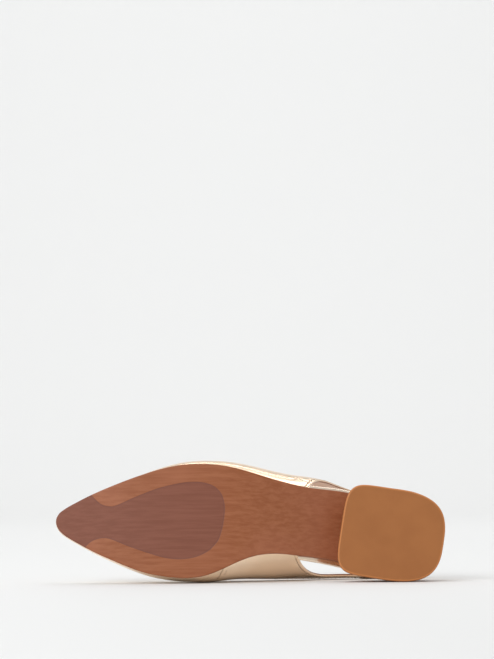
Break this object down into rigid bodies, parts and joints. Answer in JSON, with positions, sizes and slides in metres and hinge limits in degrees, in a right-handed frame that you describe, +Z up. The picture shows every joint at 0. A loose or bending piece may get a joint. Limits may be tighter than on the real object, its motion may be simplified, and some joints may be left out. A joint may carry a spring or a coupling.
{
  "type": "slingback pump",
  "caption": "Pointed slingback pump with a low block heel, an open collar and a narrow strap round the back of the heel, lying on its inner side.",
  "frame": {"origin": "middle of the footprint of the shoe's bounding box, on the floor it lies on", "axes": "+X from the toe to the heel, +Y from the sole towards the foot's side of the shoe, +Z up, towards the shoe's outer side"},
  "size_m": [0.262, 0.0824, 0.0821],
  "materials": {
    "outsole": "smooth semi-gloss brown sole leather",
    "heel_block": "smooth caramel cover",
    "heel_tip": "caramel satin",
    "insole": "soft beige lining leather, wrapped edge",
    "upper": "pale gold metallic",
    "sling_strap": "pale gold metallic"
  },
  "bodies": {
    "root": {"outsole": "outsole", "heel_block": "heel_block", "heel_tip": "heel_tip", "insole": "insole", "upper": "upper", "sling_strap": "sling_strap"}
  },
  "joints": []
}
